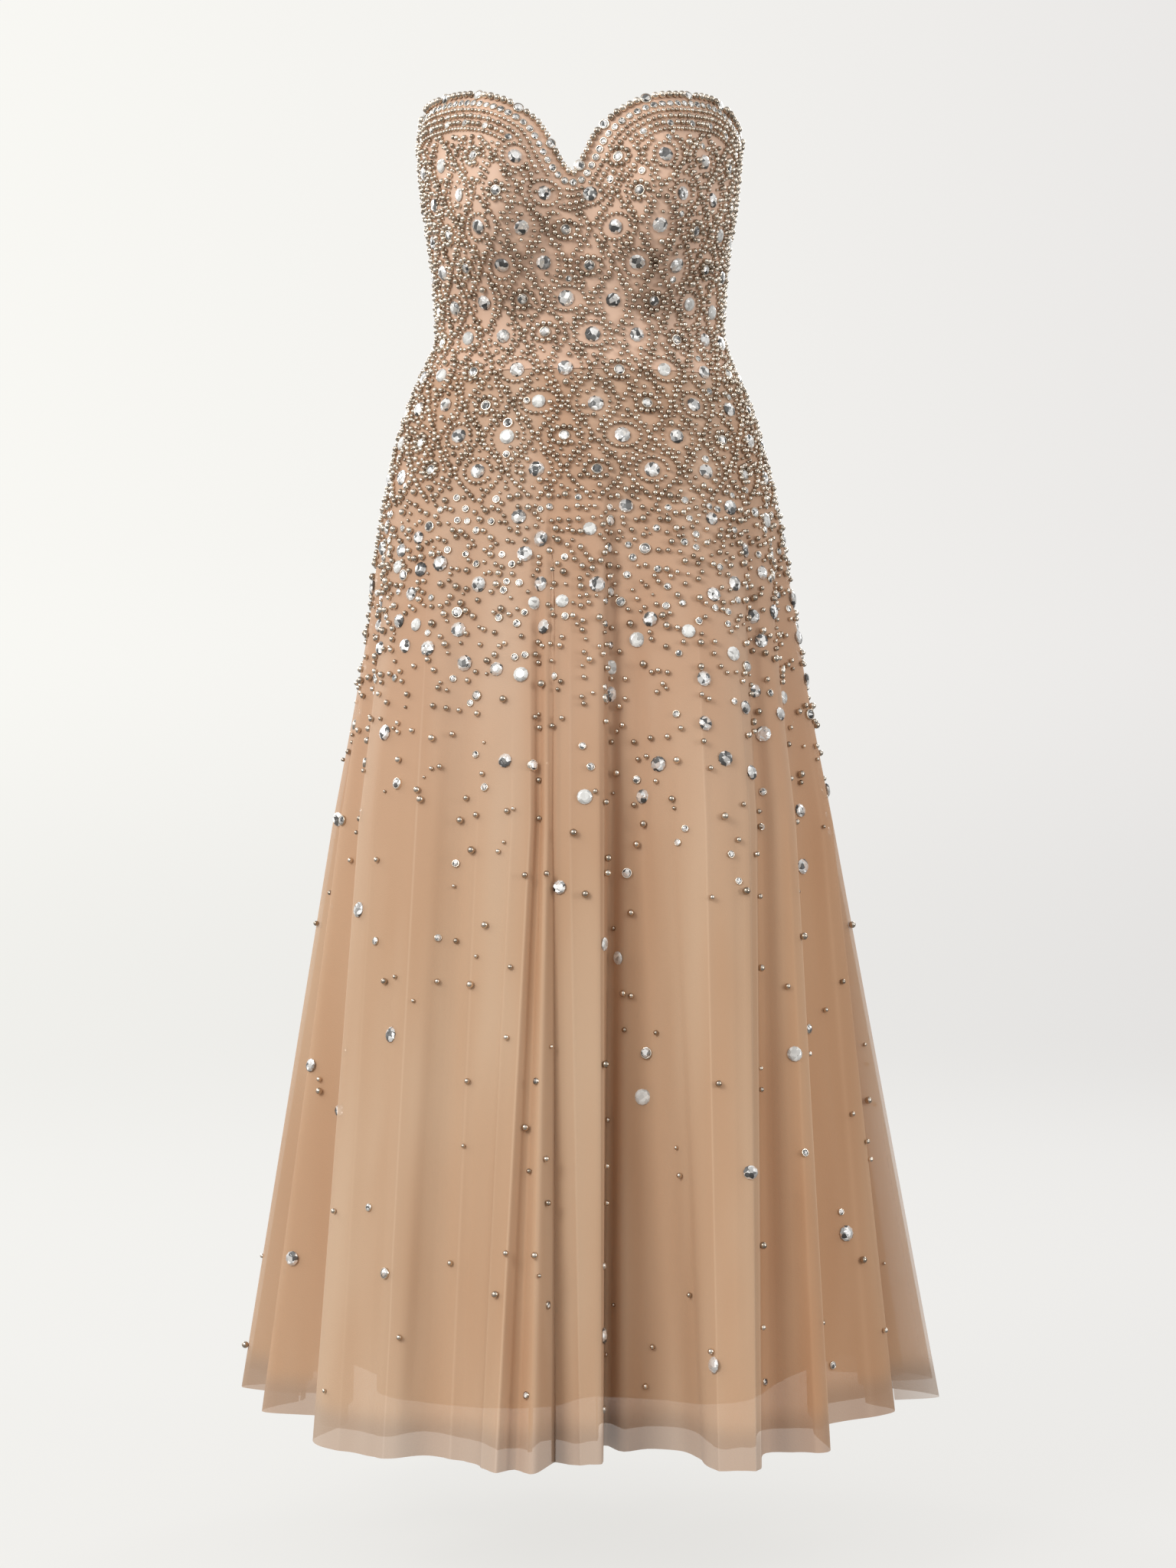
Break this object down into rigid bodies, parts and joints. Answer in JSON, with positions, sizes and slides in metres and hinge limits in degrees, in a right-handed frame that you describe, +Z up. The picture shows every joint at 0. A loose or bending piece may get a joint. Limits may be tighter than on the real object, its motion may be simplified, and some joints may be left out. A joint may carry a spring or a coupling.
{
  "type": "strapless tulle evening gown",
  "caption": "Floor-length strapless gown of layered nude tulle over a lining, with a sweetheart bodice, a flared skirt and a back zip, held out hollow as if worn.",
  "frame": {"origin": "middle of the waist seam, level with it, where the wearer's waist carries the gown", "axes": "+Z up along the body, the front faces -Y, +X is the wearer's left"},
  "size_m": [0.674, 0.644, 1.2288],
  "materials": {
    "beaded_bodice": "matte nude tulle over lining, covered in pewter beads and clear crystals",
    "beaded_tulle": "sheer matte nude tulle with beads and crystals that thin out towards the hem",
    "plain_tulle": "sheer matte nude tulle",
    "nude_lining": "smooth nude lining with a soft sheen",
    "zip_tape": "matte woven nude tape",
    "zip_metal": "pale warm metal, satin"
  },
  "bodies": {
    "gown": {"bodice_front": "beaded_bodice", "bodice_back_left": "beaded_bodice", "bodice_back_right": "beaded_bodice", "overskirt_front": "beaded_tulle", "overskirt_back_left": "beaded_tulle", "overskirt_back_right": "beaded_tulle", "midskirt_front": "plain_tulle", "midskirt_back_left": "plain_tulle", "midskirt_back_right": "plain_tulle", "lining_front": "nude_lining", "lining_back_left": "nude_lining", "lining_back_right": "nude_lining", "zip_tape": "zip_tape", "zip_slider": "zip_metal"},
    "zip_pull": {"zip_pull": "zip_metal"}
  },
  "joints": [
    {"name": "pull_hinge", "type": "hinge", "parent": "gown", "child": "zip_pull", "pos_m": [0, 0.09187, 0.1697], "axis": [1, 0, 0], "range_deg": [0, 150]}
  ]
}
